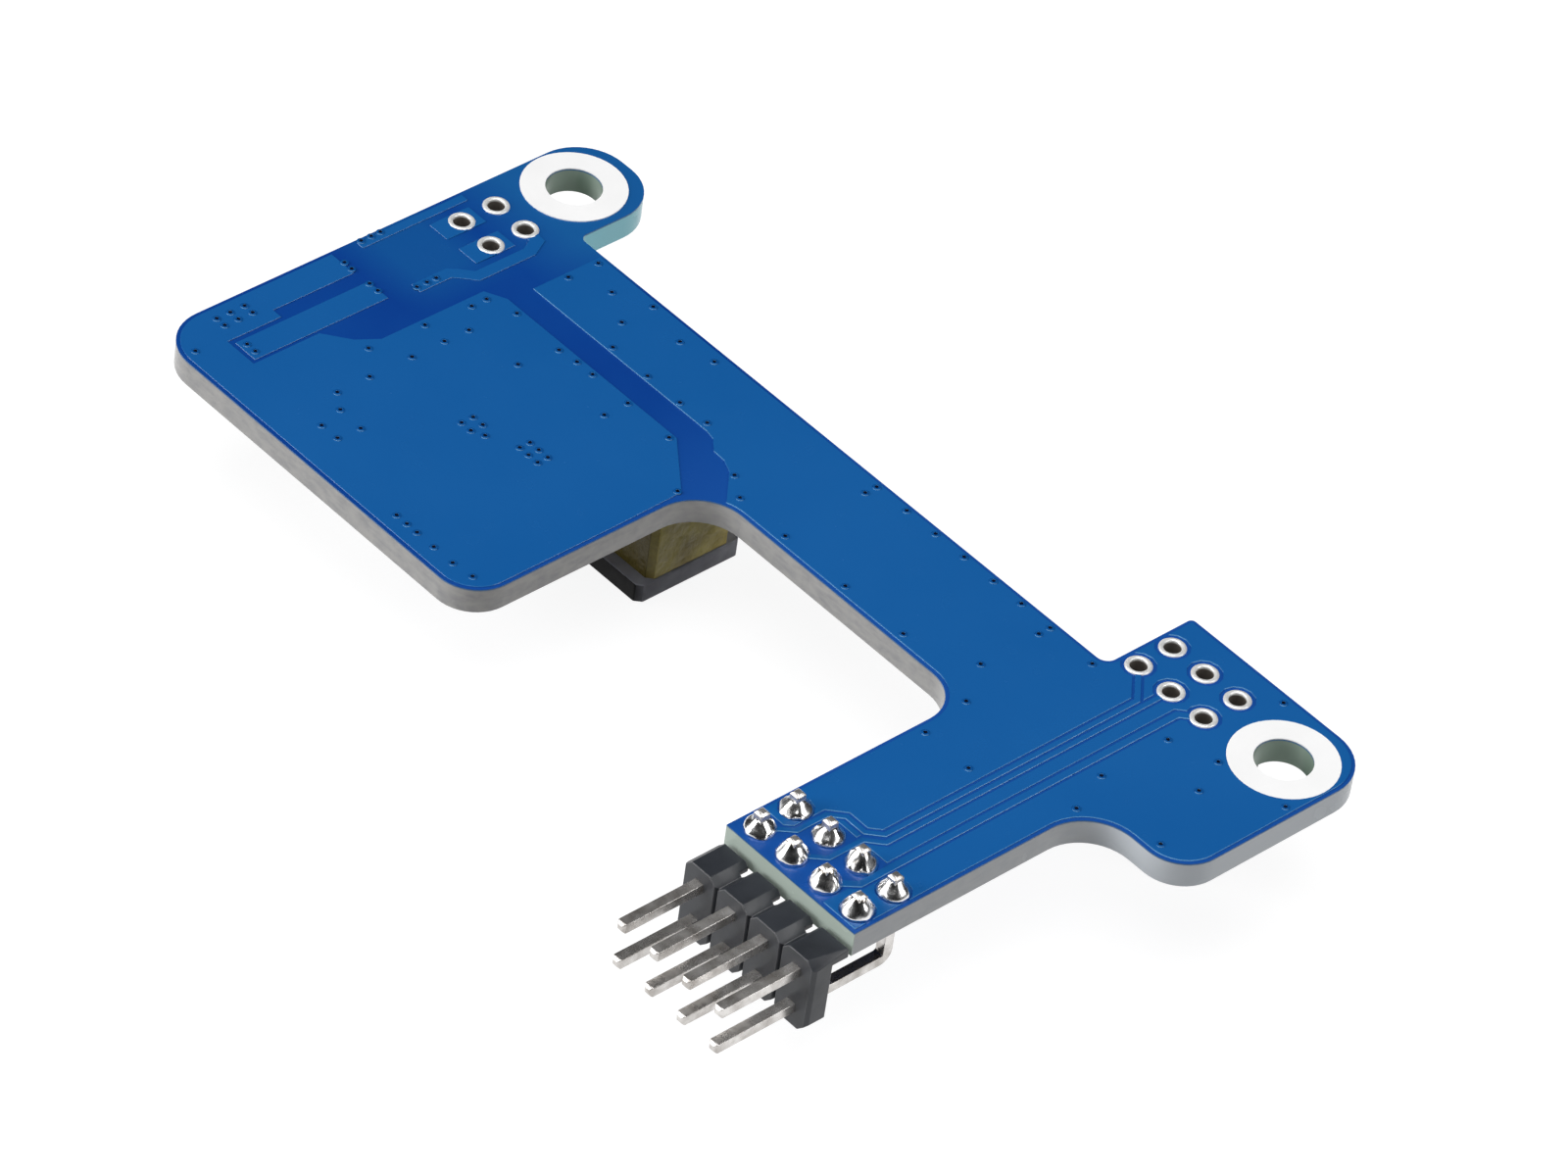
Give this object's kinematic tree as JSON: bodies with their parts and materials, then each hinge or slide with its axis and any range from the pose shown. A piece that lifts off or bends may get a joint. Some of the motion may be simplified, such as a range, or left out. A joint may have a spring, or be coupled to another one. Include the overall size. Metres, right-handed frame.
{
  "type": "power over ethernet board",
  "caption": "Small blue plug-in power board with notched outline, pass-through sockets, right-angle pin header and taped transformer under the board.",
  "frame": {"origin": "midway between the two mounting holes, on the bare solder face of the board", "axes": "+X from the network-power end to the pin-header end, +Y towards the outer edge with the mounting lobes, +Z out of the bare solder face; the components hang on the -Z side"},
  "size_m": [0.0646, 0.0399, 0.0113],
  "materials": {
    "board_laminate": "blue solder mask over glass-epoxy laminate, gloss",
    "masked_copper": "copper under blue solder mask, gloss",
    "white_print": "white print, satin",
    "tin_plating": "tin, bright",
    "solder": "solder, bright and slightly uneven",
    "header_plastic": "moulded thermoplastic, satin",
    "header_pin_metal": "tinned pin, satin",
    "socket_plastic": "moulded thermoplastic, satin",
    "contact_metal": "spring metal, tinned",
    "ferrite": "fired ferrite, matt",
    "bobbin_plastic": "moulded phenolic, matt",
    "coil_wire": "enamelled wire, gloss",
    "amber_tape": "polyester tape, satin",
    "can_aluminium": "drawn can, satin",
    "package_plastic": "moulded epoxy, matt",
    "resistor_body": "glazed film on ceramic, satin",
    "ceramic_body": "fired ceramic, matt",
    "light_lens": "clear moulding, gloss",
    "lead_metal": "tinned lead, satin"
  },
  "bodies": {
    "root": {"circuit_board": "board_laminate", "mounting_hole_rings": "white_print", "low_voltage_copper": "masked_copper", "signal_track_copper": "masked_copper", "high_voltage_copper": "masked_copper", "socket_hole_plating": "tin_plating", "header_near_pins": "header_pin_metal", "header_far_pins": "header_pin_metal", "header_bar": "header_plastic", "header_solder_joints": "solder", "signal_socket_body": "socket_plastic", "signal_socket_contacts": "contact_metal", "power_socket_body": "socket_plastic", "power_socket_contacts": "contact_metal", "transformer_far_core": "ferrite", "transformer_near_core": "ferrite", "transformer_bobbin": "bobbin_plastic", "transformer_winding": "coil_wire", "transformer_tape": "amber_tape", "transformer_pins": "lead_metal", "bulk_capacitor_base": "socket_plastic", "bulk_capacitor_can": "can_aluminium", "bulk_capacitor_leads": "lead_metal", "bridge_rectifier_bodies": "package_plastic", "bridge_rectifier_leads": "lead_metal", "diode_bodies": "package_plastic", "diode_lead_strips": "lead_metal", "switch_transistor_body": "package_plastic", "switch_transistor_leads": "lead_metal", "optocoupler_body": "package_plastic", "optocoupler_leads": "lead_metal", "shunt_reference_body": "package_plastic", "shunt_reference_leads": "lead_metal", "power_interface_ic": "package_plastic", "flyback_controller_ic": "package_plastic", "controller_lands": "tin_plating", "filter_inductor_core": "ferrite", "filter_inductor_winding": "coil_wire", "filter_inductor_terminals": "lead_metal", "chip_resistor_bodies": "resistor_body", "ceramic_capacitor_bodies": "ceramic_body", "status_light_body": "light_lens", "chip_end_caps": "tin_plating", "component_face_solder": "solder"}
  },
  "joints": []
}
